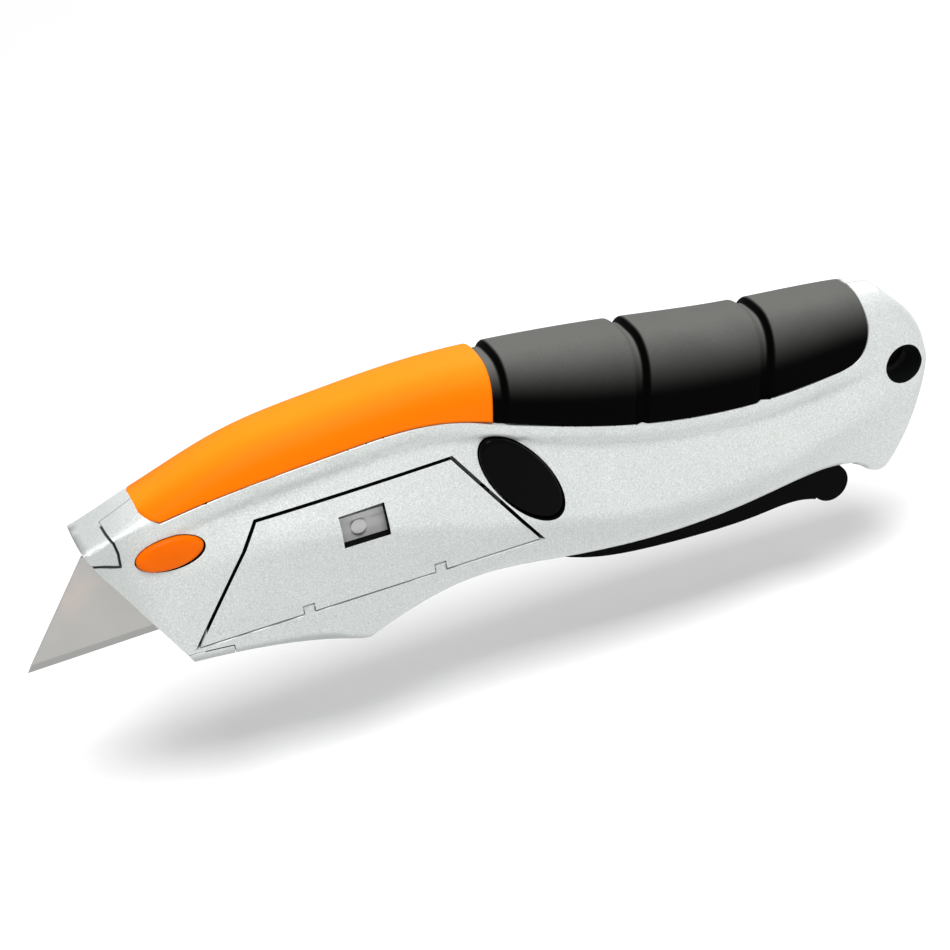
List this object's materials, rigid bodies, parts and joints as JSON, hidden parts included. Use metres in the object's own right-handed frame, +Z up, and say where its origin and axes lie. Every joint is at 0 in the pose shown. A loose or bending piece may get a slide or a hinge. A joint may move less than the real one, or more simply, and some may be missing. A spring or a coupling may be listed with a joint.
{
  "type": "utility knife",
  "caption": "Squeeze-lever utility knife with retracting trapezoid blade, soft spine grips, side door for spare blades, lock and lanyard hole.",
  "frame": {"origin": "under the middle of the knife's length, on its centre plane, at the height of its lowest point, the end bulb of the lever", "axes": "+X runs along the blade from the nose to the tail, +Y points from the door side to the far side, +Z points up to the spine with its grips"},
  "size_m": [0.1776, 0.02, 0.0525],
  "materials": {
    "shell": "fine metallic silver paint",
    "orange_grip": "soft satin",
    "black_grip": "fine matt texture",
    "orange_plastic": "semi-gloss",
    "black_plastic": "matt",
    "black_gloss": "gloss",
    "grey_plastic": "matt",
    "blade_steel": "fine ground",
    "steel": "bright",
    "zinc": "bare die-cast zinc"
  },
  "bodies": {
    "body": {"right_shell": "shell", "left_shell": "shell", "front_grip": "orange_grip", "rear_grip": "black_grip", "shell_screws": "steel", "door_hinge_pin": "steel", "lever_pivot_pin": "steel", "swing_arm_pin": "steel", "return_spring": "steel", "button_spring": "steel"},
    "door": {"side_door": "shell", "blade_tray": "grey_plastic", "spare_blades": "blade_steel"},
    "lever": {"squeeze_lever": "black_plastic"},
    "arm": {"swing_arm": "zinc", "drive_pin": "steel", "crank_pin": "steel"},
    "carriage": {"blade_carriage": "grey_plastic", "blade": "blade_steel", "blade_clip": "steel"},
    "release": {"release_button": "orange_plastic"},
    "lock": {"lock_button": "black_gloss", "lock_end": "black_gloss"}
  },
  "joints": [
    {"name": "lever_squeeze", "type": "hinge", "parent": "body", "child": "lever", "pos_m": [0.0022, 0, 0.013], "axis": [0, 1, 0], "range_deg": [0, 16], "deforming": ["return_spring"]},
    {"name": "arm_swing", "type": "hinge", "parent": "body", "child": "arm", "pos_m": [0.0166, 0, 0.0124], "axis": [0, 1, 0], "range_deg": [0, 60.2]},
    {"name": "blade_slide", "type": "slide", "parent": "body", "child": "carriage", "axis": [1, 0, 0], "range_m": [0, 0.0261]},
    {"name": "door_swing", "type": "hinge", "parent": "body", "child": "door", "pos_m": [-0.0448, -0.00696, 0.0164], "axis": [0.9995, -0.0303, 0], "range_deg": [0, 90]},
    {"name": "release_press", "type": "slide", "parent": "body", "child": "release", "axis": [0, 1, 0], "range_m": [0, 0.0015], "stiffness_N_per_m": 300},
    {"name": "lock_push", "type": "slide", "parent": "body", "child": "lock", "axis": [0, 1, 0], "range_m": [0, 0.002]}
  ],
  "couplings": [
    {"joint": "arm_swing", "follows": "lever_squeeze", "ratio": 3.75},
    {"joint": "blade_slide", "follows": "lever_squeeze", "m_per_rad": 0.093106}
  ]
}
